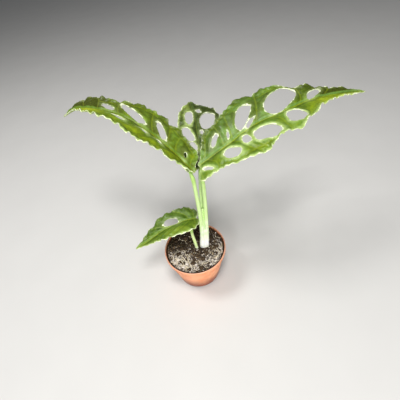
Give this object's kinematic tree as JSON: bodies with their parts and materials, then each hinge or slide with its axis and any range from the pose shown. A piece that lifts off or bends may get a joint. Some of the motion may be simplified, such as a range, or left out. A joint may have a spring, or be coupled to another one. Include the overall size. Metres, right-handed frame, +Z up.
{
  "type": "potted monstera obliqua peru",
  "caption": "Young Monstera obliqua of the Peru form in a small round nursery pot: long folded leaves full of holes on slim pale stalks, rising from a mix with perlite.",
  "frame": {"origin": "centre of the pot's flat foot, on the surface that the pot stands on", "axes": "+Z up along the pot's axis, +X towards the tip of the right leaf, the plant's longest extent, and +Y away from the viewer towards the back leaf"},
  "size_m": [0.3045, 0.1542, 0.2055],
  "materials": {
    "pot": "satin",
    "soil": "matte",
    "crown": "satin",
    "stalk": "satin",
    "leaf": "satin"
  },
  "bodies": {
    "root": {"pot": "pot", "soil": "soil", "crown": "crown", "petiole_left": "stalk", "petiole_right": "stalk", "petiole_back": "stalk", "petiole_small": "stalk", "leaf_left": "leaf", "leaf_right": "leaf", "leaf_back": "leaf", "leaf_small": "leaf"}
  },
  "joints": []
}
